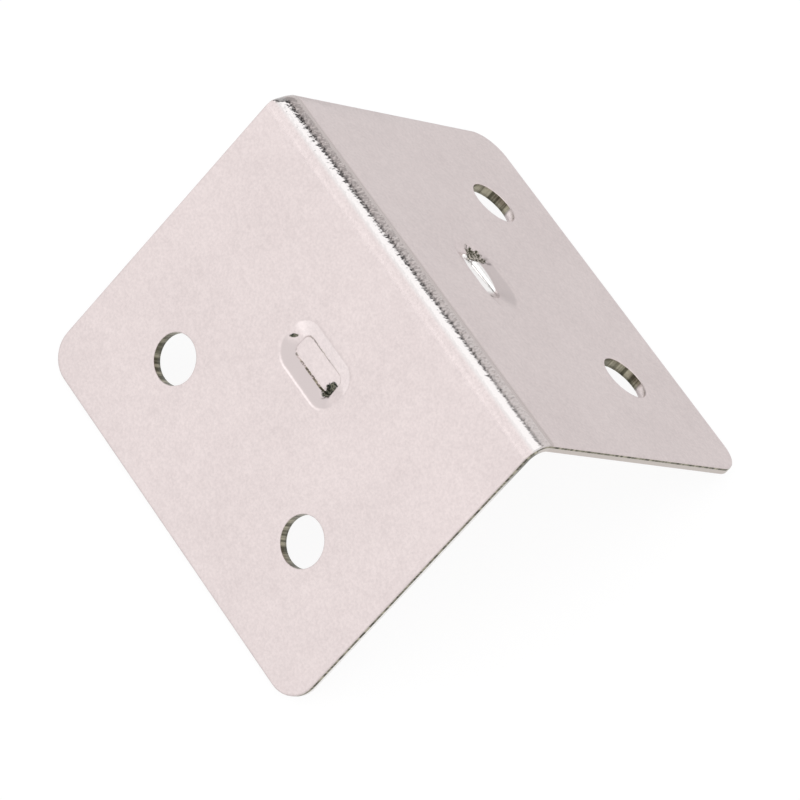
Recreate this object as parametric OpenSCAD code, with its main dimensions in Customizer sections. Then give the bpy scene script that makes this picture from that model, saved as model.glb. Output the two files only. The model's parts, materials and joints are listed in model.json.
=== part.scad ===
// Reinforced angle bracket: one sheet of zinc-plated steel, punched, pressed and folded once.
// It stands as a small roof, on its two free edges, with the fold on top and along X.

/* [Sheet] */
// Thickness of the sheet
sheet = 1; // [0.6:0.1:1.6]
// Length along the fold
fold_length = 50; // [40:1:80]
// Front leg, from the corner that the outer faces would make to the free edge
front_leg = 40; // [34:0.5:60]
// Rear leg, measured in the same way
rear_leg = 38.5; // [34:0.5:60]
// Radius inside the fold
inside_radius = 1.5; // [0.5:0.1:3]
// Radius of the rounded free corners
corner_radius = 3.5; // [1:0.5:6]

/* [Screw holes] */
// Diameter of each hole
hole_diameter = 5.6; // [3:0.1:7]
// Distance between the two holes of a leg, centre to centre
hole_spacing = 25.7; // [20:0.1:30]
// Distance from the outer corner to the row of holes
hole_distance = 27.8; // [25:0.1:29]

/* [Pressed recess] */
// Length of the recess at its mouth, along the fold
recess_length = 10.1; // [7:0.1:14]
// Width of the recess at its mouth
recess_width = 6; // [5:0.1:8]
// Corner radius of the mouth
recess_corner = 2.5; // [1.8:0.05:2.9]
// How far its walls run in from the mouth to the floor
recess_wall = 1.65; // [0.8:0.05:1.75]
// Depth of the foot of its walls below the outer face
recess_depth = 0.5; // [0.2:0.05:1]
// Height of the sheared step between the walls and the floor
floor_step = 0.25; // [0.05:0.05:0.4]
// Distance from the outer corner to the middle of the recess
recess_distance = 15; // [12:0.1:18]

/* [Hidden] */
$fn = 64;
// Cutters start this far outside the face that they cut
overcut = 1;
zinc = "#dcd2d0";

outside_radius = inside_radius + sheet;
// The legs differ in length, so the fold leans until both free edges stand on the ground
lean = atan((front_leg - rear_leg) / (front_leg + rear_leg - 2 * sheet));
front_slope = 45 - lean;
rear_slope = 45 + lean;
front_reach = front_leg * cos(front_slope);
rear_reach = rear_leg * cos(rear_slope);
// Place of the outer corner line, with the middle of the footprint at the origin
corner_y = (front_reach - rear_reach) / 2;
corner_z = rear_leg * sin(rear_slope) + sheet * cos(rear_slope);
// The inner side of a pressed wall lies parallel to its outer side, one sheet further in
recess_angle = atan(recess_depth / recess_wall);
recess_growth = sheet * tan(recess_angle / 2);

// Flat blank of one leg, from the start of the fold to the free edge, with rounded free corners
module leg_outline(leg) {
    round_x = fold_length / 2 - corner_radius;
    round_y = leg - corner_radius;
    translate([-fold_length / 2, outside_radius])
        square([fold_length, round_y - outside_radius]);
    translate([-round_x, outside_radius])
        square([2 * round_x, leg - outside_radius]);
    for (side = [-1, 1])
        translate([side * round_x, round_y])
            circle(corner_radius);
}

// Tapered form with rounded corners, widest at z = 0, narrowing down to a step and a flat floor
module pressed_form(length, width, corner, wall, depth, step) {
    module taper(mouth, run) {
        foot = mouth / 2 - wall;
        rotate([90, 0, 90])
            linear_extrude(run, center = true)
                polygon([[-mouth / 2, 0], [-foot, -depth], [-foot, -depth - step],
                         [foot, -depth - step], [foot, -depth], [mouth / 2, 0]]);
    }
    taper(width, length - 2 * corner);
    rotate([0, 0, 90])
        taper(length, width - 2 * corner);
    for (x = [-1, 1], y = [-1, 1])
        translate([x * (length / 2 - corner), y * (width / 2 - corner), 0])
            rotate_extrude()
                polygon([[0, 0], [0, -depth - step], [corner - wall, -depth - step],
                         [corner - wall, -depth], [corner, 0]]);
}

// One leg, with its outer face at z = 0 and the outer corner line along X
module leg(length) {
    difference() {
        union() {
            translate([0, 0, -sheet])
                linear_extrude(sheet)
                    leg_outline(length);
            translate([0, recess_distance, -sheet])
                pressed_form(recess_length + 2 * recess_growth, recess_width + 2 * recess_growth,
                             recess_corner + recess_growth, recess_wall, recess_depth, floor_step);
        }
        for (side = [-1, 1])
            translate([side * hole_spacing / 2, hole_distance, -sheet - overcut])
                cylinder(h = sheet + 2 * overcut, d = hole_diameter);
        translate([0, recess_distance, 0])
            pressed_form(recess_length, recess_width, recess_corner, recess_wall, recess_depth, floor_step);
    }
}

// Quarter turn of the sheet between the legs, in the frame of the rear leg
module fold() {
    translate([-fold_length / 2, outside_radius, -outside_radius])
        rotate([90, 0, 90])
            rotate([0, 0, 90])
                rotate_extrude(angle = 90)
                    translate([inside_radius, 0])
                        square([sheet, fold_length]);
}

module bracket() {
    color(zinc)
        translate([0, corner_y, corner_z]) {
            rotate([-rear_slope, 0, 0]) {
                leg(rear_leg);
                fold();
            }
            rotate([front_slope, 0, 0])
                rotate([0, 0, 180])
                    leg(front_leg);
        }
}

bracket();
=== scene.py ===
"""Folded angle bracket of zinc-plated sheet steel: its finish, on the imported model's frame."""

import json
import math

import bmesh
import bpy
from bpy.props import FloatProperty, FloatVectorProperty, PointerProperty
from mathutils import Matrix, Vector
from mathutils.geometry import delaunay_2d_cdt


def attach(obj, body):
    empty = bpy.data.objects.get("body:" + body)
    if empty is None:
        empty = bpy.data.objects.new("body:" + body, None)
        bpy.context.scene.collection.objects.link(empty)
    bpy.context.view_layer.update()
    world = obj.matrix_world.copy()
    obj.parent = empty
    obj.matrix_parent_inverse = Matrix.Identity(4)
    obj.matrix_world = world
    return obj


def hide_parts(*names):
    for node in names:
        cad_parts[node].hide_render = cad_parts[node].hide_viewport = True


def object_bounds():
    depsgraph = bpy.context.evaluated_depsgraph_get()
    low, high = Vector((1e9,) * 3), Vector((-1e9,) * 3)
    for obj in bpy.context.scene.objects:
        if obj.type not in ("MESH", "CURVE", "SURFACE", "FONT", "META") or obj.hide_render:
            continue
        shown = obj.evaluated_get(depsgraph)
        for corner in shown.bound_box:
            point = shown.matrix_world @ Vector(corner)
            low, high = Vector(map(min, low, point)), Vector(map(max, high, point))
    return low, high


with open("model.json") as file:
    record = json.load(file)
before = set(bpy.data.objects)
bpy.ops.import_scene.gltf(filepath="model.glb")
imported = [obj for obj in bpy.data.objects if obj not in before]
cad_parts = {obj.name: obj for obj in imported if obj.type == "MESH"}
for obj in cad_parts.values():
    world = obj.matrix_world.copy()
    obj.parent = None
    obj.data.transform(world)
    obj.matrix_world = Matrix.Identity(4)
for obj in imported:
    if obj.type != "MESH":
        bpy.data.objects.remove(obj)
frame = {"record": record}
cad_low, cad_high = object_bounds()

bl_info = {
    "name": "Folded Angle Bracket",
    "version": (1, 0, 0),
    "blender": (4, 5, 0),
    "location": "3D View > Sidebar > Bracket",
    "description": "Punches, presses and folds one sheet into an angle bracket, and sets its stage",
    "category": "Object",
}

NODE = "bracket"
BODY = "root"
MM = 0.001
RIGHT_ANGLE = math.pi / 2
# Points closer than this are one point
MERGE = 1e-7
# One unit of the flat UV map is this wide, which keeps the whole blank inside the map
FLAT_MAP_SIZE = 0.1
# Marks that the sheared walls carry: where the punch cut the sheet, and where it tore an outer edge
CUT_MARK = 1.0
TORN_MARK = 0.5


def mm(*values):
    """Millimetres as metres."""
    return tuple(value * MM for value in values)


def read_frame():
    """Work the sheet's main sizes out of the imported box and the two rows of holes."""
    mounts = {mount["name"]: mount for mount in frame["record"]["mounts"]}
    front = mounts["front_holes"]
    rear = mounts["rear_holes"]
    front_normal = Vector(front["axis"])
    rear_normal = Vector(rear["axis"])
    front_row = Vector(front["pos_m"])
    rear_row = Vector(rear["pos_m"])
    # The planes of the two outer faces meet in the corner line
    planes = Matrix((front_normal.yz, rear_normal.yz))
    corner = planes.inverted() @ Vector((front_normal.dot(front_row), rear_normal.dot(rear_row)))
    lean = math.atan2(front_normal.y + rear_normal.y, front_normal.z + rear_normal.z)
    rear_slope = RIGHT_ANGLE / 2 + lean
    front_slope = RIGHT_ANGLE / 2 - lean
    rear_leg = (cad_high.y - corner.x) / math.cos(rear_slope)
    fold_drop = math.sqrt(2) * math.cos(lean) - 1
    return {
        "corner_y": corner.x,
        "corner_z": corner.y,
        "lean": lean,
        "fold_length": cad_high.x - cad_low.x,
        "front_leg": (corner.x - cad_low.y) / math.cos(front_slope),
        "rear_leg": rear_leg,
        "sheet": (corner.y - rear_leg * math.sin(rear_slope)) / math.cos(rear_slope),
        "fold_radius": (corner.y - cad_high.z) / fold_drop,
        "hole_radius": front["dims"]["hole_r_mm"] * MM,
        "hole_spacing": front["dims"]["pcd_mm"] * MM,
        "hole_distance": (front_row.yz - corner).length,
    }


READ = read_frame()


def length(name, description, default):
    """A size in metres."""
    return FloatProperty(name=name, description=description, default=default, min=0, precision=6,
                         subtype="DISTANCE", unit="LENGTH")


def colour(name, description, default):
    """A linear colour."""
    return FloatVectorProperty(name=name, description=description, default=default, size=3,
                               min=0, max=1, subtype="COLOR")


def share(name, description, default):
    """A plain number from 0 to 1."""
    return FloatProperty(name=name, description=description, default=default, min=0, max=1,
                         subtype="FACTOR")


class BracketSizes(bpy.types.PropertyGroup):
    """Sizes of the folded sheet"""
    sheet: length("Sheet", "Thickness of the sheet", READ["sheet"])
    fold_length: length("Fold Length", "Length along the fold", READ["fold_length"])
    front_leg: length("Front Leg", "From the outer corner to the front free edge", READ["front_leg"])
    rear_leg: length("Rear Leg", "From the outer corner to the rear free edge", READ["rear_leg"])
    fold_radius: length("Fold Radius", "Radius outside the fold", READ["fold_radius"])
    corner_radius: length("Corner Radius", "Radius of the free corners", 3.5 * MM)
    hole_radius: length("Hole Radius", "Radius of each screw hole", READ["hole_radius"])
    hole_spacing: length("Hole Spacing", "Between the two holes of a leg", READ["hole_spacing"])
    hole_distance: length("Hole Distance", "From the outer corner to a row of holes", READ["hole_distance"])
    recess_length: length("Recess Length", "Length of the mouth, along the fold", 10.1 * MM)
    recess_width: length("Recess Width", "Width of the mouth", 6 * MM)
    recess_corner: length("Recess Corner", "Corner radius of the mouth", 2.5 * MM)
    recess_wall: length("Recess Wall", "How far the walls run in to the floor", 1.65 * MM)
    recess_depth: length("Recess Depth", "Depth at the foot of the walls", 0.5 * MM)
    floor_step: length("Floor Step", "Sheared step down to the floor", 0.25 * MM)
    floor_tilt: length("Floor Tilt", "How much more the step drops at the torn end", 0.15 * MM)
    front_shift: length("Front Floor Shift", "How far the floor lies towards the torn end", 0.15 * MM)
    rear_shift: length("Rear Floor Shift", "The same in the rear leg", 1.1 * MM)
    rear_offset: length("Rear Floor Offset", "How far that floor lies towards the fold", 1.0 * MM)
    tear_depth: length("Tear Depth", "Depth of the tear in the end wall", 0.3 * MM)
    step_run: length("Step Run", "How far the sheared step leans", 0.1 * MM)
    recess_distance: length("Recess Distance", "From the outer corner to its middle", 15 * MM)
    mouth_round: length("Mouth Rounding", "Half width of the bend round the mouth", 0.3 * MM)
    step_round: length("Step Rounding", "Half width of the bends of the sheared step", 0.03 * MM)
    end_pinch: length("Fold End Pinch", "Drop of the fold at its one end", 0.5 * MM)
    edge_roll: length("Rolled Edge", "Rounding that the punch leaves outside", 0.2 * MM)
    hole_roll: length("Rolled Hole", "Rounding that the punch leaves round a hole", 0.1 * MM)
    hole_burr: length("Hole Burr", "How far the punch draws the holes out inside", 0.15 * MM)
    edge_burr: length("Broken Edge", "Rounding of the edges inside", 0.07 * MM)
    front_cut: share("Front Cut", "Part of the sheet that is cut before it tears", 0.62)
    rear_cut: share("Rear Cut", "The same in the rear leg", 0.43)


class BracketFinish(bpy.types.PropertyGroup):
    """Colours and gloss of the zinc plate"""
    zinc: colour("Zinc", "Plated face", (0.79, 0.70, 0.692))
    zinc_dull: colour("Dull Zinc", "Duller spangle in the plate", (0.66, 0.58, 0.576))
    rubbed: colour("Rubbed Zinc", "Plate that the tool rubbed in the fold", (0.72, 0.69, 0.685))
    # Painted shade: darker zinc behind the top of the fold and on the rear recess's floor
    shaded_zinc: colour("Shaded Zinc", "Plate worn dull behind the fold", (0.56, 0.49, 0.475))
    # Painted shade: the darker away walls of the recesses, which face the fold
    wall: colour("Recess Wall", "Dull far wall of the recesses", (0.60, 0.532, 0.528))
    # Painted highlight: the bright line round the front recess's mouth, its fold-side wall and the lit end
    # of each rear hole
    rim_highlight: colour("Recess Rim Highlight", "Bright rim and near wall of the recesses", (0.885, 0.795, 0.79))
    # Painted shade: cut steel darkened to near black on the sheared walls, in the tears and in the line at
    # the foot of the recess walls
    cut: colour("Cut Edge", "Sheared walls of the edges and holes", (0.075, 0.07, 0.045))
    streak: colour("Cut Streak", "Paler streaks down the sheared walls", (0.44, 0.41, 0.315))
    torn: colour("Torn Edge", "Torn half of the outer edges", (0.66, 0.60, 0.56))
    # Painted shade: near black in the tears and cracks at the ends of the recesses
    crack: colour("Crack", "Tears in the ends of the recesses", (0.02, 0.025, 0.02))
    # Painted highlight: near white on the recess floors, most on the rear one, and on the rear leg's torn
    # edges
    highlight_white: colour("Floor Highlight", "Polished floor of the recesses", (1.0, 0.98, 0.97))
    roughness: share("Roughness", "Gloss of the plated faces", 0.38)
    worked_roughness: share("Worked Roughness", "Gloss where the tool rubbed the sheet", 0.1)
    coined_roughness: share("Coined Roughness", "Gloss of the recess floor", 0.12)


class BracketStage(bpy.types.PropertyGroup):
    """Floor, light and camera"""
    floor: colour("Floor", "Paper under the bracket", (0.9, 0.9, 0.9))
    overhead: FloatProperty(name="Overhead Light", description="Brightness of the overhead softbox",
                            default=0.1, min=0)
    azimuth: FloatProperty(name="Azimuth", description="Turn of the camera round the bracket",
                           default=math.radians(56.88), subtype="ANGLE")
    elevation: FloatProperty(name="Elevation", description="Height of the camera over the horizon",
                             default=math.radians(57.97), subtype="ANGLE")
    roll: FloatProperty(name="Roll", description="Turn of the camera about its view",
                        default=math.radians(1.81), subtype="ANGLE")
    distance: length("Distance", "From the camera to its aim", 525.5 * MM)
    aim: FloatVectorProperty(name="Aim", description="Point that the camera looks at", size=3,
                             default=(4.34 * MM, -2.02 * MM, 10.74 * MM), subtype="XYZ")
    lens: FloatProperty(name="Lens", description="Focal length for a 36 mm sensor", default=229,
                        min=1)


class Wire:
    """A node's output that takes part in Python arithmetic, one Math node for each operator."""

    def __init__(self, tree, socket):
        self.tree = tree
        self.socket = socket

    @staticmethod
    def node(tree, kind, settings=None, sockets=None, output=0):
        """Add a node: its settings first, then the values or links of its sockets."""
        made = tree.nodes.new(kind)
        for name, value in (settings or {}).items():
            if name == "stops":
                ramp = made.color_ramp
                while len(ramp.elements) < len(value):
                    ramp.elements.new(1)
                for element, (position, level) in zip(ramp.elements, value):
                    element.position = position
                    element.color = (level, level, level, 1)
            else:
                setattr(made, name, value)
        for key, value in (sockets or {}).items():
            if isinstance(value, Wire):
                tree.links.new(value.socket, made.inputs[key])
            else:
                made.inputs[key].default_value = value
        return Wire(tree, made.outputs[output] if len(made.outputs) else None)

    def math(self, operation, *others):
        """A Math node with this output first."""
        values = {index: value for index, value in enumerate((self, *others))}
        return Wire.node(self.tree, "ShaderNodeMath", {"operation": operation}, values)

    def reflected(self, operation, other):
        """A Math node with this output second."""
        return Wire.node(self.tree, "ShaderNodeMath", {"operation": operation}, {0: other, 1: self})

    def __add__(self, other):
        return self.math("ADD", other)

    def __radd__(self, other):
        return self.reflected("ADD", other)

    def __sub__(self, other):
        return self.math("SUBTRACT", other)

    def __rsub__(self, other):
        return self.reflected("SUBTRACT", other)

    def __mul__(self, other):
        return self.math("MULTIPLY", other)

    def __rmul__(self, other):
        return self.reflected("MULTIPLY", other)

    def __truediv__(self, other):
        return self.math("DIVIDE", other)

    def __rtruediv__(self, other):
        return self.reflected("DIVIDE", other)

    def __abs__(self):
        return self.math("ABSOLUTE")

    def most(self, other):
        """The larger of two values."""
        return self.math("MAXIMUM", other)

    def least(self, other):
        """The smaller of two values."""
        return self.math("MINIMUM", other)

    def rise(self, start, end):
        """0 before start, 1 after end and a smooth step between."""
        return Wire.node(self.tree, "ShaderNodeMapRange", {"interpolation_type": "SMOOTHSTEP"},
                         {"Value": self, "From Min": start, "From Max": end})

    def fall(self, start, end):
        """1 before start, 0 after end and a smooth step between."""
        return 1 - self.rise(start, end)


def flat_place(sizes, distance):
    """Where a distance from the outer corner lies on the flat blank."""
    return distance - sizes.fold_radius + sizes.fold_radius * RIGHT_ANGLE / 2


def circle(centre, radius, steps):
    """Points of a circle."""
    turns = [2 * math.pi * step / steps for step in range(steps)]
    return [centre + radius * Vector((math.cos(turn), math.sin(turn))) for turn in turns]


def rounded_rectangle(low, high, corner, steps, side_stops=(), end_parts=1):
    """Points of a rounded rectangle, with stops along its two sides and even parts along its ends."""
    def arc(x, y, start):
        turns = [start + RIGHT_ANGLE * step / steps for step in range(steps + 1)]
        return [Vector((x + corner * math.cos(turn), y + corner * math.sin(turn))) for turn in turns]

    left = low.x + corner
    right = high.x - corner
    stops = [left + (right - left) * part / end_parts for part in range(1, end_parts)]
    points = arc(right, low.y + corner, -RIGHT_ANGLE)
    points += [Vector((high.x, stop)) for stop in side_stops]
    points += arc(right, high.y - corner, 0)
    points += [Vector((stop, high.y)) for stop in reversed(stops)]
    points += arc(left, high.y - corner, RIGHT_ANGLE)
    points += [Vector((low.x, stop)) for stop in reversed(side_stops)]
    points += arc(left, low.y + corner, 2 * RIGHT_ANGLE)
    points += [Vector((stop, low.y)) for stop in stops]
    return points


def inside(point, loop):
    """Whether a point lies inside a closed loop."""
    odd = False
    for start, end in zip(loop, loop[1:] + loop[:1]):
        if (start.y > point.y) != (end.y > point.y):
            crossing = start.x + (point.y - start.y) / (end.y - start.y) * (end.x - start.x)
            if crossing > point.x:
                odd = not odd
    return odd


class Blank:
    """The flat blank under construction: outer face at z = 0, inner face one sheet below."""

    OUTLINE_STEPS = 10
    HOLE_STEPS = 56
    RECESS_STEPS = 20
    RECESS_PARTS = 24
    ROLL_STEPS = 4
    FOLD_STEPS = 24
    WALL_PARTS = 8
    # Rings round the bend of a mouth, in half widths of the bend, and over a floor, in shares of its width
    MOUTH_RINGS = (-1, -0.5, 0, 0.5, 1)
    STEP_RINGS = (-1, 0, 1)
    FLOOR_RINGS = (0, 0.25, 0.5, 0.75, 0.9)
    # Plain rings keep this far from the bends of the step, in half widths of a bend
    STEP_CLEAR = 3
    # How far the tip and the foot of a burr stand back from the wall of a hole, in heights of the burr
    BURR_TIP = 0.4
    BURR_FOOT = 1.6
    LEAST_CORNER = 0.05 * MM
    EDGE_CLEAR = 0.15 * MM
    GRID = 2.5 * MM
    # Distances from the ends of the fold where it is divided more finely
    END_STOPS = (0.6 * MM, 0.9 * MM, 1.3 * MM)

    def __init__(self, sizes):
        self.sizes = sizes
        self.mesh = bmesh.new()
        self.cut = self.mesh.faces.layers.float.new("cut_edge")
        self.outer = self.mesh.faces.layers.float.new("outer_face")
        self.half_fold = sizes.fold_radius * RIGHT_ANGLE / 2
        self.margin = sizes.edge_roll + self.EDGE_CLEAR

    def ring(self, points, depth):
        """A closed ring of vertices."""
        return [self.mesh.verts.new((point.x, point.y, -depth)) for point in points]

    def band(self, first, second, cut=0.0, outer=0.0):
        """Faces between two rings of equal count."""
        count = len(first)
        for index in range(count):
            after = (index + 1) % count
            self.face((first[index], first[after], second[after], second[index]), cut, outer)

    def face(self, corners, cut=0.0, outer=0.0):
        """One smooth face with its marks."""
        made = self.mesh.faces.new(corners)
        made.smooth = True
        made[self.cut] = cut
        made[self.outer] = outer

    def outline(self, inset):
        """The blank's outline, moved in."""
        sizes = self.sizes
        low = Vector((-sizes.fold_length / 2 + inset, -flat_place(sizes, sizes.front_leg) + inset))
        high = Vector((sizes.fold_length / 2 - inset, flat_place(sizes, sizes.rear_leg) - inset))
        corner = sizes.corner_radius - inset
        return rounded_rectangle(low, high, corner, self.OUTLINE_STEPS, self.fold_lines())

    def fold_lines(self):
        """Places along the blank where the fold is divided."""
        steps = self.FOLD_STEPS
        return [self.half_fold * (2 * step / steps - 1) for step in range(steps + 1)]

    def hole(self, centre):
        """The outline of a hole, as a function of the distance from its edge."""
        return lambda inset: circle(centre, self.sizes.hole_radius + inset, self.HOLE_STEPS)

    def hole_centres(self):
        """Middles of the four holes."""
        across = self.sizes.hole_spacing / 2
        along = flat_place(self.sizes, self.sizes.hole_distance)
        return [Vector((x, y)) for y in (-along, along) for x in (-across, across)]

    def recess(self, side):
        """The outline of a recess, as a function of the distance in from its mouth."""
        sizes = self.sizes
        centre = Vector((0, side * flat_place(sizes, sizes.recess_distance)))
        half = Vector((sizes.recess_length, sizes.recess_width)) / 2
        shift = sizes.front_shift if side < 0 else sizes.rear_shift
        offset = 0 if side < 0 else sizes.rear_offset

        def shape(inset):
            step = Vector((inset, inset))
            corner = max(sizes.recess_corner - inset, self.LEAST_CORNER)
            points = rounded_rectangle(step - half, half - step, corner, self.RECESS_STEPS,
                                       end_parts=self.RECESS_PARTS)
            return [centre + Vector((-side * unshift(-side * point.x, half.x, shift),
                                     unshift(point.y, half.y, -offset)))
                    for point in points]
        return shape

    def edge_profile(self, roll, burr):
        """Inset and depth down a sheared edge: rolled over, cut, then broken off or drawn out."""
        sizes = self.sizes
        steps = self.ROLL_STEPS
        turns = [RIGHT_ANGLE * step / steps for step in range(steps + 1)]
        rolled = [(roll * (1 - math.sin(turn)), roll * (1 - math.cos(turn))) for turn in turns]
        if burr:
            end = sizes.sheet + burr
            return rolled, [(0, end), (self.BURR_TIP * burr, end), (self.BURR_FOOT * burr, sizes.sheet)]
        broken = [(sizes.edge_burr * (1 - math.cos(turn)),
                   sizes.sheet - sizes.edge_burr * (1 - math.sin(turn))) for turn in turns]
        return rolled, broken

    def shear(self, shape, top, bottom, torn, roll, burr):
        """Close an edge or a hole between the two faces: a cut zone, then a torn one."""
        sizes = self.sizes
        rolled, broken = self.edge_profile(roll, burr)
        rings = [self.ring(shape(inset), depth) for inset, depth in rolled + [(0, 0)] + broken]
        for vert in rings[len(rolled)]:
            vert.co.z = -sizes.sheet * (sizes.front_cut if vert.co.y < 0 else sizes.rear_cut)
        marks = [0.0] * (len(rolled) - 1) + [CUT_MARK, torn] + [0.0] * (len(broken) - 1)
        self.band(top, rings[0], outer=1.0)
        for first, second, mark in zip(rings, rings[1:], marks):
            self.band(first, second, cut=mark, outer=1.0)
        self.band(rings[-1], bottom)

    def press(self, shape, face, depth, growth):
        """Rings of a recess on one face, from its mouth to its floor."""
        sizes = self.sizes
        foot = sizes.recess_wall
        floor = foot + sizes.step_run
        mouth = [sizes.mouth_round * place for place in self.MOUTH_RINGS]
        parts = self.WALL_PARTS
        wall = [mouth[-1] + (foot - mouth[-1]) * part / parts for part in range(1, parts)]
        bends = [start + sizes.step_round * place for start in (foot, floor) for place in self.STEP_RINGS]
        clear = self.STEP_CLEAR * sizes.step_round
        room = sizes.recess_width / 2 - floor - clear
        rest = [floor + clear + room * place for place in self.FLOOR_RINGS]
        outer = 1.0 if depth == 0 else 0.0
        ring = face
        for inset in mouth + wall + [foot - clear] + bends + rest:
            inner = self.ring(shape(inset - growth), depth)
            self.band(ring, inner, outer=outer)
            ring = inner
        self.face(ring, outer=outer)

    def grid_points(self, loops):
        """Loose points that keep the triangles of the flat legs even."""
        sizes = self.sizes
        clear = self.GRID / 2
        points = []
        for side, leg in ((-1, sizes.front_leg), (1, sizes.rear_leg)):
            rows = int((flat_place(sizes, leg) - self.half_fold) / self.GRID)
            columns = int(sizes.fold_length / self.GRID)
            for row in range(1, rows):
                y = side * (self.half_fold + row * self.GRID)
                for column in range(1, columns):
                    point = Vector((column * self.GRID - sizes.fold_length / 2, y))
                    if min((point - other).length for loop in loops for other in loop) > clear:
                        points.append(point)
        return points

    def faces(self, loops):
        """Fill the blank between its loops; return each loop's vertices on both faces."""
        points = [point for loop in loops for point in loop]
        edges = []
        start = 0
        for loop in loops:
            count = len(loop)
            edges += [(start + index, start + (index + 1) % count) for index in range(count)]
            start += count
        half = self.sizes.fold_length / 2
        parts = round(2 * half / self.GRID)
        stops = [half - self.margin, *(half - stop for stop in self.END_STOPS)]
        across = sorted([-stop for stop in stops] + stops
                        + [half * (2 * part / parts - 1) for part in range(1, parts)])
        for line in self.fold_lines():
            begin = len(points)
            points += [Vector((stop, line)) for stop in across]
            edges += [(begin + part, begin + part + 1) for part in range(len(across) - 1)]
        points += self.grid_points(loops)
        filled = delaunay_2d_cdt(points, edges, [], 1, MERGE)
        places, triangles, origins = filled[0], filled[2], filled[3]
        openings = loops[1:]
        kept = [triangle for triangle in triangles
                if not any(inside(sum((places[i] for i in triangle), Vector((0, 0))) / 3, loop)
                           for loop in openings)]
        found = {}
        for made, sources in enumerate(origins):
            for source in sources:
                found[source] = made
        sides = []
        for depth in (0, self.sizes.sheet):
            used = {index for triangle in kept for index in triangle}
            verts = {index: self.mesh.verts.new((*places[index], -depth)) for index in sorted(used)}
            for triangle in kept:
                order = triangle if depth == 0 else reversed(triangle)
                self.face([verts[index] for index in order], outer=1.0 if depth == 0 else 0.0)
            sides.append(verts)
        rings = []
        start = 0
        for loop in loops:
            indices = [found[start + index] for index in range(len(loop))]
            rings.append([[verts[index] for index in indices] for verts in sides])
            start += len(loop)
        return rings

    def build(self):
        """Punch and press the blank, and return it as a mesh."""
        sizes = self.sizes
        holes = [self.hole(centre) for centre in self.hole_centres()]
        recesses = [self.recess(side) for side in (-1, 1)]
        edges = [self.outline, *holes]
        loops = [shape(self.margin) for shape in edges]
        loops += [shape(-self.margin - sizes.mouth_round) for shape in recesses]
        rings = self.faces(loops)
        ways = [(TORN_MARK, sizes.edge_roll, 0)]
        ways += [(CUT_MARK, sizes.hole_roll, sizes.hole_burr)] * len(holes)
        for shape, (top, bottom), way in zip(edges, rings, ways):
            self.shear(shape, top, bottom, *way)
        for shape, (top, bottom) in zip(recesses, rings[len(edges):]):
            self.press(shape, top, 0, 0)
            self.press(shape, bottom, sizes.sheet, recess_growth(sizes))
        flat_map = self.mesh.loops.layers.uv.new("flat")
        for face in self.mesh.faces:
            for loop in face.loops:
                loop[flat_map].uv = loop.vert.co.xy / FLAT_MAP_SIZE + Vector((0.5, 0.5))
        bmesh.ops.recalc_face_normals(self.mesh, faces=self.mesh.faces)
        data = bpy.data.meshes.new(NODE + "_sheet")
        self.mesh.to_mesh(data)
        self.mesh.free()
        return data


def unshift(place, half_size, shift):
    """Undo the shift that recess_place gives to a place along or across a recess."""
    bend = shift / half_size ** 2
    if abs(place) >= half_size or bend == 0:
        return place
    return (math.sqrt(1 + 4 * bend * (shift + place)) - 1) / (2 * bend)


def recess_growth(sizes):
    """How much wider the form is inside, one sheet further in and parallel."""
    angle = math.atan2(sizes.recess_depth, sizes.recess_wall)
    return sizes.sheet * math.tan(angle / 2)


def soft_ramp(value, half_width):
    """Zero, then rising at a slope of one, with a round bend between."""
    before = (value + half_width).most(0)
    after = (value - half_width).most(0)
    return (before * before - after * after) / (4 * half_width)


def recess_place(x, along, place, half_length, half_width, corner, front_shift, rear_shift, rear_offset):
    """Distance in from the mouth of a recess, and the place across and along it from its middle.

    The place across runs away from the fold. The recesses are turned about, one to the other, so the
    place along each runs to its torn end. The floor is shifted, and the mouth stays where it is.
    """
    across = abs(along) - place
    lengthwise = x * along.math("SIGN") * -1
    rear = along.math("GREATER_THAN", 0)
    shift = rear * (rear_shift - front_shift) + front_shift
    from_middle = lengthwise / half_length
    shifted = lengthwise - (1 - from_middle * from_middle).most(0) * shift
    from_axis = across / half_width
    offset = across + (1 - from_axis * from_axis).most(0) * rear * rear_offset
    over_x = abs(shifted) - (half_length - corner)
    over_y = abs(offset) - (half_width - corner)
    beyond_x = over_x.most(0)
    beyond_y = over_y.most(0)
    beyond = (beyond_x * beyond_x + beyond_y * beyond_y).math("SQRT")
    outward = beyond + over_x.most(over_y).least(0) - corner
    return outward * -1, across, lengthwise


# Middle, reach and turn of the tear at one end of a recess and of the crack at the other end
FRONT_TEAR = mm(0.7, 2.9), mm(1.1, 0.75), 0
REAR_TEAR = mm(1.0, 3.55), mm(1.7, 0.85), -0.785
FRONT_CRACK = mm(0.1, -4.2), mm(0.62, 0.26), -0.7
REAR_CRACK = mm(-1.2, -2.1), mm(0.5, 0.28), -0.93
RAGGEDNESS = 1.6
SPOT_EDGE = 0.1, 0.5
# Depth of a crack as a share of a tear's, and how far in on the floor a tear runs out
CRACK_DEPTH = 0.4
TEAR_END = mm(0.5, 0.8)
# The drop at the end of the fold: how far in it runs, and its middle in shares of half the fold
PINCH_RUN = 1 * MM
PINCH_MIDDLE = 0.5


def spot(across, lengthwise, ragged, middle, reach, turn):
    """1 inside a ragged spot in the wall of a recess, turned from across the recess to along it."""
    from_x = across - middle[0]
    from_y = lengthwise - middle[1]
    first = (from_x * math.cos(turn) + from_y * math.sin(turn)) / reach[0]
    second = (from_y * math.cos(turn) - from_x * math.sin(turn)) / reach[1]
    inner = 1 - first * first - second * second
    return (inner + (ragged - 0.5) * RAGGEDNESS).rise(*SPOT_EDGE)


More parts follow.
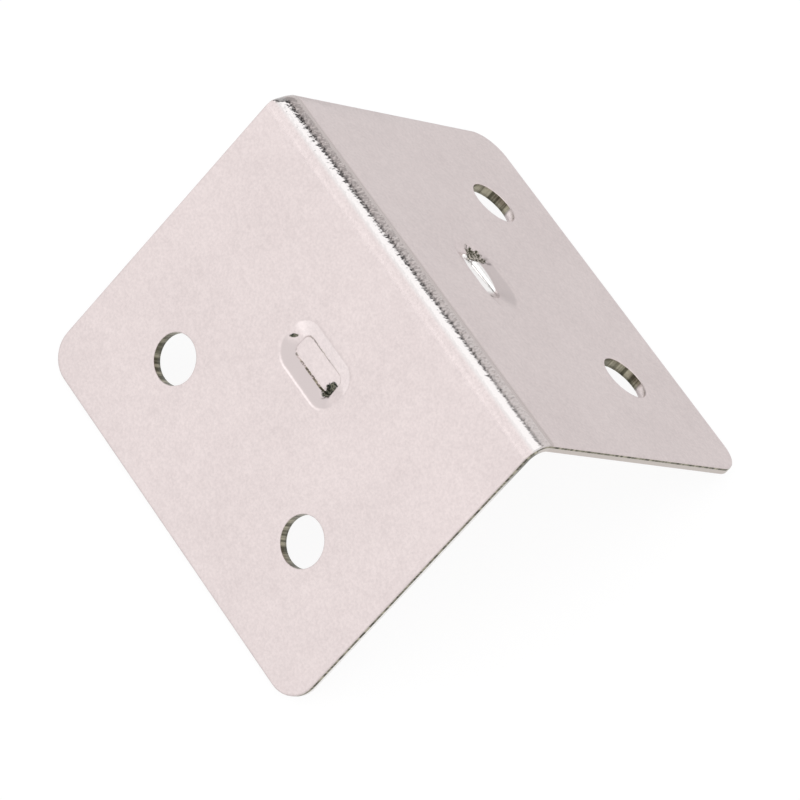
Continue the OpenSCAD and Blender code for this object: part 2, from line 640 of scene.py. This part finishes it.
def tears(along, across, lengthwise, ragged):
    """1 inside the tear of either recess, and 1 inside its crack."""
    rear = along.math("GREATER_THAN", 0)
    found = []
    for front_place, rear_place in ((FRONT_TEAR, REAR_TEAR), (FRONT_CRACK, REAR_CRACK)):
        front_spot = spot(across, lengthwise, ragged, *front_place)
        rear_spot = spot(across, lengthwise, ragged, *rear_place)
        found.append(front_spot * (1 - rear) + rear_spot * rear)
    return found


def press_and_fold():
    """Geometry Nodes tree that presses the recesses into the flat blank and folds it."""
    tree = bpy.data.node_groups.new("press_and_fold", "GeometryNodeTree")
    tree.interface.new_socket("Geometry", in_out="INPUT", socket_type="NodeSocketGeometry")
    for name in ("Sheet", "Half Length", "Fold Radius", "End Pinch", "Lean", "Centre Y", "Centre Z",
                 "Recess Place", "Recess Half Length", "Recess Half Width", "Recess Corner",
                 "Recess Wall", "Recess Slope", "Recess Growth", "Mouth Rounding", "Step Run",
                 "Step Slope", "Step Rounding", "Front Shift", "Rear Shift", "Rear Offset",
                 "Floor Tilt", "Tear Depth"):
        tree.interface.new_socket(name, in_out="INPUT", socket_type="NodeSocketFloat")
    tree.interface.new_socket("Material", in_out="INPUT", socket_type="NodeSocketMaterial")
    tree.interface.new_socket("Geometry", in_out="OUTPUT", socket_type="NodeSocketGeometry")
    entry = tree.nodes.new("NodeGroupInput")

    def given(name):
        return Wire(tree, entry.outputs[name])

    place = Wire.node(tree, "GeometryNodeInputPosition")
    split = Wire.node(tree, "ShaderNodeSeparateXYZ", sockets={"Vector": place}).socket.node
    x, along, up = (Wire(tree, output) for output in split.outputs)

    # The walls slope in from the mouth, and a step with a tilt leads down to the floor
    inward, across, lengthwise = recess_place(
        x, along, given("Recess Place"), given("Recess Half Length"), given("Recess Half Width"),
        given("Recess Corner"), given("Front Shift"), given("Rear Shift"), given("Rear Offset"))
    inward = inward - given("Recess Growth") * up / given("Sheet")
    foot = inward - given("Recess Wall")
    wall = soft_ramp(inward, given("Mouth Rounding")) - soft_ramp(foot, given("Step Rounding"))
    step = soft_ramp(foot, given("Step Rounding"))
    step = step - soft_ramp(foot - given("Step Run"), given("Step Rounding"))
    tilt = lengthwise / given("Recess Half Length") * given("Floor Tilt") / given("Step Run")
    ragged = noise(tree, place, *RAGGED)
    torn, cracked = tears(along, across, lengthwise, ragged)
    torn = (torn + cracked * CRACK_DEPTH) * (1 + up / given("Sheet")) * foot.fall(*TEAR_END)
    pressed = up - wall * given("Recess Slope") - step * (given("Step Slope") + tilt)
    pressed = pressed - torn * given("Tear Depth")

    # The fold drops a little at its one end
    half_fold = given("Fold Radius") * (RIGHT_ANGLE / 2)
    near_end = (1 - (x + given("Half Length")) / PINCH_RUN).most(0)
    from_pinch = along / half_fold - PINCH_MIDDLE
    pressed = pressed - near_end * near_end * (1 - from_pinch * from_pinch).most(0) * given("End Pinch")

    # The fold turns a quarter, half to each side of its middle
    in_fold = along.least(half_fold).most(half_fold * -1)
    past_fold = along - in_fold
    turn = in_fold / given("Fold Radius") + given("Lean")
    radius = given("Fold Radius") + pressed
    y = given("Centre Y") + radius * turn.math("SINE") + past_fold * turn.math("COSINE")
    z = given("Centre Z") + radius * turn.math("COSINE") - past_fold * turn.math("SINE")
    folded = Wire.node(tree, "ShaderNodeCombineXYZ", sockets={"X": x, "Y": y, "Z": z})

    moved = Wire.node(tree, "GeometryNodeSetPosition",
                      sockets={"Geometry": given("Geometry"), "Position": folded})
    real = Wire.node(tree, "GeometryNodeRealizeInstances", sockets={"Geometry": moved})
    plated = Wire.node(tree, "GeometryNodeSetMaterial",
                       sockets={"Geometry": real, "Material": given("Material")})
    Wire.node(tree, "NodeGroupOutput", sockets={"Geometry": plated})
    return tree


def apply_tree(data, tree, values):
    """Run a Geometry Nodes tree on a mesh and return the result as a plain mesh."""
    carrier = bpy.data.objects.new(NODE + "_flat", data)
    bpy.context.scene.collection.objects.link(carrier)
    modifier = carrier.modifiers.new(tree.name, "NODES")
    modifier.node_group = tree
    for item in tree.interface.items_tree:
        if item.item_type == "SOCKET" and item.in_out == "INPUT" and item.name in values:
            modifier[item.identifier] = values[item.name]
    graph = bpy.context.evaluated_depsgraph_get()
    result = bpy.data.meshes.new_from_object(carrier.evaluated_get(graph), depsgraph=graph,
                                             preserve_all_data_layers=True)
    carrier.modifiers.remove(modifier)
    bpy.data.objects.remove(carrier)
    return result


def attribute(tree, name):
    """A value that the mesh carries."""
    return Wire.node(tree, "ShaderNodeAttribute", {"attribute_name": name}, output="Fac")


# Scale, detail and roughness of the noises in the plate
MOTTLE = 900, 4, 0.65
CLOUDS = 110, 3, 0.5
GRAIN = 2600, 4, 0.6
FINE_GRAIN = 3200, 4, 0.65
DENTS = 2300, 1.5, 0.5
STREAKS = 120, 4, 0.7
RAGGED = 2600, 2, 0.5


def noise(tree, vector, scale, detail, roughness):
    """Noise from 0 to 1."""
    return Wire.node(tree, "ShaderNodeTexNoise", {"noise_dimensions": "3D"},
                     {"Vector": vector, "Scale": scale, "Detail": detail, "Roughness": roughness},
                     output="Fac")


def mix_colour(tree, factor, first, second):
    """A blend of two colours."""
    def full(value):
        return value if isinstance(value, Wire) else (*value, 1)

    return Wire.node(tree, "ShaderNodeMix", {"data_type": "RGBA"},
                     {0: factor, 6: full(first), 7: full(second)}, output=2)


def ramp(value, *stops):
    """A grey level that follows a value from stop to stop."""
    return Wire.node(value.tree, "ShaderNodeValToRGB", {"stops": stops}, {"Fac": value})


class Plate:
    """Where a point of the plate lies on the flat blank, its marks, and the noises that mottle it."""

    REAR_START = mm(-1, 1)

    def __init__(self, tree, sizes):
        self.tree = tree
        self.sizes = sizes
        place = Wire.node(tree, "ShaderNodeTexCoord", output="Object")
        flat = Wire.node(tree, "ShaderNodeUVMap", {"uv_map": "flat"})
        split = Wire.node(tree, "ShaderNodeSeparateXYZ", sockets={"Vector": flat}).socket.node
        self.x = (Wire(tree, split.outputs["X"]) - 0.5) * FLAT_MAP_SIZE
        self.along = (Wire(tree, split.outputs["Y"]) - 0.5) * FLAT_MAP_SIZE
        self.rear = self.along.rise(*self.REAR_START)
        self.front = 1 - self.rear
        self.cut = attribute(tree, "cut_edge")
        self.outer = attribute(tree, "outer_face")
        self.mottle = noise(tree, place, *MOTTLE)
        self.clouds = noise(tree, place, *CLOUDS)
        self.grain = noise(tree, place, *GRAIN)
        self.fine = noise(tree, place, *FINE_GRAIN)
        self.dents = noise(tree, place, *DENTS)
        self.streaks = noise(tree, flat, *STREAKS)


class FoldMarks:
    """Masks of what the tool left on the fold, and of painted shade behind its top."""

    WORKED_EDGE = mm(-0.4, 0.1)
    # In shares of half the fold
    RUBBED_TOP = -0.5, -0.2
    SHADED_REAR = 0.05, 0.3
    LINE_START = 0.6, 0.85
    LINE_END = 1, 1.25
    # Painted shade behind the top, its growth to the far end, its unevenness, and the painted shade of a
    # line near where the fold meets the rear leg
    BEHIND_SHADE = 0.6
    FAR_SHADE = 0.25
    UNEVEN_SHADE = 0.8
    LINE_SHADE = 0.9

    def __init__(self, plate):
        half_fold = plate.sizes.fold_radius * RIGHT_ANGLE / 2
        turned = plate.along / half_fold
        self.far = 0.5 - plate.x / plate.sizes.fold_length
        self.worked = (abs(plate.along) - half_fold).fall(*self.WORKED_EDGE)
        self.rubbed = turned.rise(*self.RUBBED_TOP) * self.worked
        behind = turned.rise(*self.SHADED_REAR) * self.worked
        dark_line = turned.rise(*self.LINE_START) * turned.fall(*self.LINE_END)
        shade_depth = self.BEHIND_SHADE + self.far * self.FAR_SHADE + (plate.grain - 0.5) * self.UNEVEN_SHADE
        self.shaded = (behind * shade_depth).most(dark_line * self.LINE_SHADE)


class RecessMarks:
    """Masks of what the press left in the recesses and round them, and of the painted shade and highlights
    there.
    """

    # Across a recess, away from the fold or towards it
    AWAY_SIDE = mm(-0.5, 0.8)
    FOLD_SIDE = mm(0.2, 1.2)
    # Along a recess, where its away side gives way to its ends, and by how much
    PLAIN_END = mm(-4.4, -3)
    PLAIN_END_LOSS = 0.6 * MM
    TORN_END = mm(3, 4.2)
    TORN_END_LOSS = 1.3 * MM
    WALL_TOP = mm(0.05, 0.3)
    # Painted highlight: a bright line round the away side of the mouth
    RIM_LINE = mm(0.04, 0.16)
    RIM_ENDS = mm(2.5, 4.6)
    # Share of polish and painted highlight on the front floor, and of painted shade on the rear floor
    # outside its highlight
    FRONT_POLISH_HIGHLIGHT = 0.05
    REAR_FLOOR_SHADE = 0.6
    # The part of the rear recess with polish and a painted white highlight: its edge, its plain end and its
    # slanting fold side
    POLISH_HIGHLIGHT_EDGE = 0, 0.06 * MM
    POLISH_HIGHLIGHT_END = mm(-2, -1.3)
    POLISH_HIGHLIGHT_SLANT = 0.26
    POLISH_HIGHLIGHT_FOLD_SIDE = mm(-1.76, -1.66)
    # It bulges up the away wall: where, how far, and how fast less to both sides, in millimetres
    BULGE_SIDE = mm(-0.3, 0.3)
    BULGE_MIDDLE = 1.5
    BULGE = 0.42
    BULGE_LOSS = 0.055
    # Painted shade in a dark line at the foot of the walls: its edge, its extra width on the fold side, and
    # its gaps
    LINE_EDGE = mm(0.04, 0.12)
    FOLD_LINE_WIDTH = 0.06 * MM
    LINE_GAPS = 0.38, 0.52
    # Its strength all round, on the away side and on the fold side, where it runs out
    LINE = 0.3
    AWAY_LINE = 0.7
    FOLD_LINE = 0.4
    FOLD_LINE_END = mm(0, 1.5)
    # It starts past the plain end, and is strongest by the torn end
    LINE_START = mm(-3.3, -2.6)
    LINE_GROWS = mm(-4, 2)
    LINE_GROWTH = 0.3

    def __init__(self, plate):
        sizes = plate.sizes
        self.plate = plate
        self.inward, self.across, self.lengthwise = recess_place(
            plate.x, plate.along, flat_place(sizes, sizes.recess_distance), sizes.recess_length / 2,
            sizes.recess_width / 2, sizes.recess_corner, sizes.front_shift, sizes.rear_shift,
            sizes.rear_offset)
        self.foot = sizes.recess_wall
        self.floor = self.foot + sizes.step_run
        at_ends = self.lengthwise.fall(*self.PLAIN_END) * self.PLAIN_END_LOSS
        at_ends = at_ends + self.lengthwise.rise(*self.TORN_END) * self.TORN_END_LOSS
        self.away = (self.across - at_ends).rise(*self.AWAY_SIDE)
        self.fold_side = (self.across * -1).rise(*self.FOLD_SIDE) * plate.front

    def walls(self):
        """The sloping walls."""
        above_foot = self.inward.fall(self.foot, self.floor)
        return self.inward.rise(*self.WALL_TOP) * above_foot * self.plate.outer

    def rim_highlight(self):
        """The painted highlight line round the mouth of the front recess."""
        line = abs(self.inward).fall(*self.RIM_LINE) * self.away
        return line * abs(self.lengthwise).fall(*self.RIM_ENDS) * self.plate.outer * self.plate.front

    def rear_floor_shade(self):
        """Painted shade on the floor of the rear recess."""
        floor = self.inward.rise(self.foot, self.floor) * self.plate.outer
        return floor * self.plate.rear * self.REAR_FLOOR_SHADE

    def polish_and_highlight(self):
        """Polish and a painted white highlight: a little of the front floor and most of the rear one."""
        from_widest = self.lengthwise / MM - self.BULGE_MIDDLE
        bulge = (self.BULGE - from_widest * from_widest * self.BULGE_LOSS) * MM
        bulge = bulge * self.across.rise(*self.BULGE_SIDE)
        rear = (self.inward - self.foot + bulge).rise(*self.POLISH_HIGHLIGHT_EDGE)
        rear = rear * self.lengthwise.rise(*self.POLISH_HIGHLIGHT_END)
        rear = rear * (self.across - self.lengthwise * self.POLISH_HIGHLIGHT_SLANT).rise(*self.POLISH_HIGHLIGHT_FOLD_SIDE)
        front = self.inward.rise((self.foot + self.floor) / 2, self.floor) * self.FRONT_POLISH_HIGHLIGHT
        return (front + (rear - front) * self.plate.rear) * self.plate.outer

    def foot_shade(self):
        """The broken line of painted shade at the foot of the walls of the front recess."""
        from_step = abs(self.inward - (self.foot + self.floor) / 2)
        line = (from_step - self.fold_side * self.FOLD_LINE_WIDTH).fall(*self.LINE_EDGE)
        line = line * self.plate.grain.rise(*self.LINE_GAPS) * self.lengthwise.rise(*self.LINE_START)
        on_fold_side = self.fold_side * self.lengthwise.fall(*self.FOLD_LINE_END)
        strength = self.LINE + on_fold_side * self.FOLD_LINE + self.away * self.AWAY_LINE
        growth = self.lengthwise.rise(*self.LINE_GROWS) * self.LINE_GROWTH
        return line * strength * (1 - self.LINE_GROWTH + growth) * self.plate.outer * self.plate.front

    def torn(self):
        """The tears and cracks at the ends, which carry painted shade."""
        torn_end, cracked_end = tears(self.plate.along, self.across, self.lengthwise, self.plate.grain)
        return torn_end.most(cracked_end) * self.plate.outer


class EdgeMarks:
    """Masks of the sheared edges and holes."""

    CUT = 0.7, 0.9
    TORN = 0.2, 0.4
    # In hole radii from the middle of a hole
    HOLE_EDGE = 1.05, 1.2
    # The lit end of a rear hole: which way it lies from the middle, and where it starts
    LIT_WAY = 0.87, 0.5
    LIT_START = 0.55, 0.72
    FOLD_END = mm(1, 9)

    def __init__(self, plate):
        sizes = plate.sizes
        self.cut = plate.cut.rise(*self.CUT)
        self.torn = plate.cut.rise(*self.TORN)
        x = (abs(plate.x) - sizes.hole_spacing / 2) * plate.x.math("SIGN")
        y = abs(plate.along) - flat_place(sizes, sizes.hole_distance)
        from_middle = (x * x + y * y).math("SQRT") / sizes.hole_radius
        lit_way = (x * self.LIT_WAY[0] + y * self.LIT_WAY[1]) / sizes.hole_radius
        self.in_hole = from_middle.fall(*self.HOLE_EDGE)
        self.lit = lit_way.rise(*self.LIT_START) * self.in_hole * plate.rear
        self.near_fold = abs(plate.along).fall(*self.FOLD_END) * plate.front


# Where each noise turns the plate from bright to dull, and its share in that
FINE_SHADE = 0.3, 0.7
FINE_SHARE = 0.6
MOTTLE_SHADE = 0.3, 0.7
MOTTLE_SHARE = 0.25
CLOUD_SHADE = 0.35, 0.65
CLOUD_SHARE = 0.15
# Lightest and dullest level of the mottle in the painted highlight on the rims, and how much less painted
# shade the rear recess's away wall takes
RIM_LIGHT = 1.11
RIM_DULL = 0.94
REAR_WALL_SHADE_LOSS = 0.3


def face_colour(plate, fold, recess, finish):
    """Mottled faces, rubbed at the fold, with painted shade behind its top, on the recesses' away walls and
    on the rear floor, and a painted highlight round the front recess's mouth and on its fold-side wall.
    """
    tree = plate.tree
    shade = plate.fine.rise(*FINE_SHADE) * FINE_SHARE
    shade = shade + plate.mottle.rise(*MOTTLE_SHADE) * MOTTLE_SHARE
    shade = shade + plate.clouds.rise(*CLOUD_SHADE) * CLOUD_SHARE
    face = mix_colour(tree, shade, finish.zinc, finish.zinc_dull)
    rubbed = mix_colour(tree, fold.rubbed, face, finish.rubbed)
    # Painted shade behind the top of the fold, growing towards its far end
    shaded_zinc = mix_colour(tree, fold.shaded, rubbed, finish.shaded_zinc)
    walls = recess.walls()
    # Painted shade on the away walls of the recesses, less in the rear one
    wall_shaded = mix_colour(tree, walls * recess.away * (1 - plate.rear * REAR_WALL_SHADE_LOSS), shaded_zinc, finish.wall)
    rim_light = [level * RIM_LIGHT for level in finish.rim_highlight]
    rim_dull = [level * RIM_DULL for level in finish.rim_highlight]
    # Painted highlight round the front recess's mouth and on its fold-side wall
    rim_highlight = mix_colour(tree, shade, rim_light, rim_dull)
    rimmed = mix_colour(tree, recess.rim_highlight().most(walls * recess.fold_side), wall_shaded, rim_highlight)
    # Painted shade on the rear recess's floor
    return mix_colour(tree, recess.rear_floor_shade(), rimmed, finish.shaded_zinc)


# The torn edge's darkness by the fold, where a streak is pale, and how much paler the holes are
FOLD_END_DARK = 0.85
STREAK_EDGE = 0.42, 0.6
HOLE_PALER = 0.1


def edge_colour(plate, edges, foot_shade, faces, finish):
    """Walls where the sheet is cut, darkened with painted shade and streaked, and paler ones where it tore,
    with a painted highlight on the rear leg's torn edges and on the lit end of each rear hole.
    """
    tree = plate.tree
    # Painted highlight: the rear leg's torn edges take the near white of the floors
    torn_side = mix_colour(tree, plate.rear, finish.highlight_white, finish.torn)
    torn_colour = mix_colour(tree, edges.near_fold * FOLD_END_DARK, torn_side, finish.cut)
    torn = mix_colour(tree, edges.torn, faces, torn_colour)
    paler = edges.in_hole * HOLE_PALER
    streak_share = plate.streaks.rise(*STREAK_EDGE) * (1 - paler) + paler
    streaked = mix_colour(tree, streak_share, finish.cut, finish.streak)
    # Painted highlight on the lit end of each rear hole
    walls = mix_colour(tree, edges.lit, streaked, finish.rim_highlight)
    # The line of painted shade at the foot of the recess walls takes the dark cut colour
    return mix_colour(tree, edges.cut.most(foot_shade), torn, walls)


# Where a tear is speckled, how much of it in front, and how much more and paler in the rear
SPECKLE_EDGE = 0.45, 0.57
SPECKLE = 0.35
REAR_SPECKLE = 0.5
REAR_SHADOW = 0.7
REAR_LIGHT = 0.5


def tear_shade_colour(plate, finish):
    """Painted shade in the tears: near black metal with pale specks."""
    tree = plate.tree
    speckle = plate.fine.rise(*SPECKLE_EDGE) * (SPECKLE + plate.rear * REAR_SPECKLE)
    shadow = mix_colour(tree, plate.rear * REAR_SHADOW, finish.crack, finish.cut)
    light = mix_colour(tree, plate.rear * REAR_LIGHT, finish.streak, finish.zinc)
    return mix_colour(tree, speckle, shadow, light)


# Unevenness of the gloss, and the relief of the grain and of the dents in the fold, more at its far end
UNEVEN_GLOSS = 0.06
GRAIN_RELIEF = 0.12
DENT_RELIEF = 0.35
FAR_DENT_RELIEF = 0.5
RELIEF = 0.06 * MM


def zinc_plate(sizes, finish):
    """Satin zinc on steel: mottled faces, a rubbed fold, sheared edges and recess floors with polish, with
    painted shade and painted highlights.
    """
    material = bpy.data.materials.new("zinc_plate")
    material.use_nodes = True
    tree = material.node_tree
    tree.nodes.clear()
    plate = Plate(tree, sizes)
    fold = FoldMarks(plate)
    recess = RecessMarks(plate)
    polish_and_highlight = recess.polish_and_highlight()
    dull = face_colour(plate, fold, recess, finish)
    # Painted highlight: near white where the floors have polish
    faces = mix_colour(tree, polish_and_highlight, dull, finish.highlight_white)
    edged = edge_colour(plate, EdgeMarks(plate), recess.foot_shade(), faces, finish)
    # Painted shade in the tears and cracks at the ends of the recesses
    plated = mix_colour(tree, recess.torn(), edged, tear_shade_colour(plate, finish))

    rubbed_gloss = fold.worked * (finish.worked_roughness - finish.roughness) + finish.roughness
    uneven = rubbed_gloss + (plate.clouds - 0.5) * UNEVEN_GLOSS
    gloss = uneven + (finish.coined_roughness - uneven) * polish_and_highlight

    dents = plate.dents * fold.worked * (DENT_RELIEF + fold.far * FAR_DENT_RELIEF)
    bump = Wire.node(tree, "ShaderNodeBump", sockets={"Height": plate.grain * GRAIN_RELIEF + dents,
                                                      "Strength": 1.0, "Distance": RELIEF})
    shader = Wire.node(tree, "ShaderNodeBsdfPrincipled",
                       sockets={"Base Color": plated, "Roughness": gloss, "Metallic": 1.0,
                                "Normal": bump})
    Wire.node(tree, "ShaderNodeOutputMaterial", sockets={"Surface": shader})
    return material


class BRACKET_OT_fold_sheet(bpy.types.Operator):
    """Punch, press and fold one sheet into the bracket"""
    bl_idname = "bracket.fold_sheet"
    bl_label = "Fold the Sheet"

    def execute(self, context):
        sizes = context.scene.bracket_sizes
        material = zinc_plate(sizes, context.scene.bracket_finish)
        reach = sizes.fold_radius * math.sqrt(2)
        folded = apply_tree(Blank(sizes).build(), press_and_fold(), {
            "Sheet": sizes.sheet,
            "Half Length": sizes.fold_length / 2,
            "Fold Radius": sizes.fold_radius,
            "End Pinch": sizes.end_pinch,
            "Lean": READ["lean"],
            "Centre Y": READ["corner_y"] - reach * math.sin(READ["lean"]),
            "Centre Z": READ["corner_z"] - reach * math.cos(READ["lean"]),
            "Recess Place": flat_place(sizes, sizes.recess_distance),
            "Recess Half Length": sizes.recess_length / 2,
            "Recess Half Width": sizes.recess_width / 2,
            "Recess Corner": sizes.recess_corner,
            "Recess Wall": sizes.recess_wall,
            "Recess Slope": sizes.recess_depth / sizes.recess_wall,
            "Recess Growth": recess_growth(sizes),
            "Mouth Rounding": sizes.mouth_round,
            "Step Run": sizes.step_run,
            "Step Slope": sizes.floor_step / sizes.step_run,
            "Step Rounding": sizes.step_round,
            "Front Shift": sizes.front_shift,
            "Rear Shift": sizes.rear_shift,
            "Rear Offset": sizes.rear_offset,
            "Floor Tilt": sizes.floor_tilt,
            "Tear Depth": sizes.tear_depth,
            "Material": material,
        })
        piece = bpy.data.objects.new("folded_sheet", folded)
        context.scene.collection.objects.link(piece)
        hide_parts(NODE)
        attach(piece, BODY)
        return {"FINISHED"}


WHITE = (1, 1, 1)
FLOOR_HALF_SIZE = 3
SENSOR_WIDTH = 36
NEAR_CLIP = 0.01
FAR_CLIP = 20
# Place, aim, width and depth of the overhead lamp
OVERHEAD = (-0.2, 0.22, 0.75), (-0.2, 0, 0), 1.4, 0.38


def ray_kinds(tree):
    """1 on camera rays, on glossy rays and on transmission rays."""
    rays = Wire.node(tree, "ShaderNodeLightPath").socket.node
    kinds = ("Is Camera Ray", "Is Glossy Ray", "Is Transmission Ray")
    return [Wire(tree, rays.outputs[kind]) for kind in kinds]


# How much of the paper's white is its own light, its level, and the same as the metal mirrors it
PAPER_SHARE = 0.88
PAPER_LEVEL = 1.03
MIRRORED_PAPER = 0.85


def floor_paper(stage):
    """White paper that keeps a faint shadow."""
    material = bpy.data.materials.new("floor_paper")
    material.use_nodes = True
    tree = material.node_tree
    tree.nodes.clear()
    camera, glossy, transmission = ray_kinds(tree)
    seen = camera.most(glossy).most(transmission)
    paper = Wire.node(tree, "ShaderNodeBsdfDiffuse", sockets={"Color": (*stage.floor, 1)})
    level = mix_colour(tree, glossy, WHITE, (MIRRORED_PAPER, MIRRORED_PAPER, MIRRORED_PAPER))
    white = Wire.node(tree, "ShaderNodeEmission", sockets={"Color": level, "Strength": PAPER_LEVEL})
    shader = Wire.node(tree, "ShaderNodeMixShader", sockets={0: seen * PAPER_SHARE, 1: paper, 2: white})
    Wire.node(tree, "ShaderNodeOutputMaterial", sockets={"Surface": shader})
    return material


# Height and level of the room's light in front, and behind, where the dark gap is wide or thin
FRONT_LIGHT = (0.0, 1.0), (0.3, 1.0), (0.52, 1.08), (0.8, 0.99), (1.0, 1.1)
WIDE_GAP = (0.0, 0.53), (0.44, 0.51), (0.52, 0.36), (0.58, 0.08), (0.725, 0.06), (0.775, 1.12)
THIN_GAP = (0.0, 0.9), (0.55, 0.9), (0.62, 0.72), (0.66, 0.5), (0.71, 0.42), (0.76, 1.12)
# Where the gap thins along X, and where the front of the room turns to its rear along Y
GAP_THINS = -0.51, -0.41
ROOM_TURNS = -0.1, 0.1
ROOM_LEVEL = 1.13


def studio_world():
    """A pale room: bright in front, falling off to a dark gap high up behind, white to the camera."""
    world = bpy.data.worlds.new("studio")
    world.use_nodes = True
    tree = world.node_tree
    tree.nodes.clear()
    camera, _, transmission = ray_kinds(tree)
    direction = Wire.node(tree, "ShaderNodeTexCoord", output="Generated")
    split = Wire.node(tree, "ShaderNodeSeparateXYZ", sockets={"Vector": direction}).socket.node
    x, y, z = (Wire(tree, output) for output in split.outputs)
    rear = mix_colour(tree, x.rise(*GAP_THINS), ramp(z, *WIDE_GAP), ramp(z, *THIN_GAP))
    room = mix_colour(tree, y.rise(*ROOM_TURNS), ramp(z, *FRONT_LIGHT), rear)
    shown = mix_colour(tree, camera.most(transmission), room, WHITE)
    background = Wire.node(tree, "ShaderNodeBackground", sockets={"Color": shown, "Strength": ROOM_LEVEL})
    Wire.node(tree, "ShaderNodeOutputWorld", sockets={"Surface": background})
    return world


def softbox(name, place, aim, width, depth, brightness):
    """A rectangular lamp of a given brightness, not seen by the camera."""
    lamp = bpy.data.lights.new(name, "AREA")
    lamp.shape = "RECTANGLE"
    lamp.size = width
    lamp.size_y = depth
    lamp.energy = brightness * math.pi * width * depth
    holder = bpy.data.objects.new(name, lamp)
    holder.location = place
    holder.rotation_euler = (Vector(aim) - Vector(place)).to_track_quat("-Z", "Y").to_euler()
    holder.visible_camera = False
    bpy.context.scene.collection.objects.link(holder)
    return holder


def portrait_camera(stage):
    """The camera, placed by its angles round its aim."""
    flat = math.cos(stage.elevation)
    back = Vector((math.sin(stage.azimuth) * flat, -math.cos(stage.azimuth) * flat,
                   math.sin(stage.elevation)))
    level = Vector((0, 0, 1)).cross(back).normalized()
    upright = back.cross(level)
    right = level * math.cos(stage.roll) + upright * math.sin(stage.roll)
    up = back.cross(right)
    data = bpy.data.cameras.new("portrait")
    data.lens = stage.lens
    data.sensor_width = SENSOR_WIDTH
    data.clip_start = NEAR_CLIP
    data.clip_end = FAR_CLIP
    holder = bpy.data.objects.new("portrait", data)
    turned = Matrix((right, up, back)).transposed().to_4x4()
    holder.matrix_world = Matrix.Translation(Vector(stage.aim) + stage.distance * back) @ turned
    bpy.context.scene.collection.objects.link(holder)
    return holder


class BRACKET_OT_set_stage(bpy.types.Operator):
    """Lay the paper, hang the lamp and place the camera"""
    bl_idname = "bracket.set_stage"
    bl_label = "Set the Stage"

    def execute(self, context):
        scene = context.scene
        stage = scene.bracket_stage
        sheet = bmesh.new()
        bmesh.ops.create_grid(sheet, x_segments=1, y_segments=1, size=FLOOR_HALF_SIZE)
        data = bpy.data.meshes.new("floor")
        sheet.to_mesh(data)
        sheet.free()
        data.materials.append(floor_paper(stage))
        floor = bpy.data.objects.new("floor", data)
        floor.location.z = cad_low.z
        scene.collection.objects.link(floor)
        scene.world = studio_world()
        softbox("overhead_softbox", *OVERHEAD, stage.overhead)
        scene.camera = portrait_camera(stage)
        scene.view_settings.view_transform = "Standard"
        return {"FINISHED"}


class BRACKET_PT_sidebar(bpy.types.Panel):
    """The bracket's sizes, finish and stage"""
    bl_idname = "BRACKET_PT_sidebar"
    bl_label = "Angle Bracket"
    bl_space_type = "VIEW_3D"
    bl_region_type = "UI"
    bl_category = "Bracket"

    def draw(self, context):
        scene = context.scene
        for group, operator in ((scene.bracket_sizes, BRACKET_OT_fold_sheet),
                                (scene.bracket_finish, None),
                                (scene.bracket_stage, BRACKET_OT_set_stage)):
            box = self.layout.box()
            for name in group.__annotations__:
                box.prop(group, name)
            if operator:
                box.operator(operator.bl_idname)


CLASSES = (BracketSizes, BracketFinish, BracketStage, BRACKET_OT_fold_sheet, BRACKET_OT_set_stage,
           BRACKET_PT_sidebar)
GROUPS = {"bracket_sizes": BracketSizes, "bracket_finish": BracketFinish, "bracket_stage": BracketStage}


def register():
    for made in CLASSES:
        bpy.utils.register_class(made)
    for name, group in GROUPS.items():
        setattr(bpy.types.Scene, name, PointerProperty(type=group))


def unregister():
    for name in GROUPS:
        delattr(bpy.types.Scene, name)
    for made in reversed(CLASSES):
        bpy.utils.unregister_class(made)


def main():
    register()
    bpy.ops.bracket.fold_sheet()
    bpy.ops.bracket.set_stage()


if __name__ == "__main__":
    main()
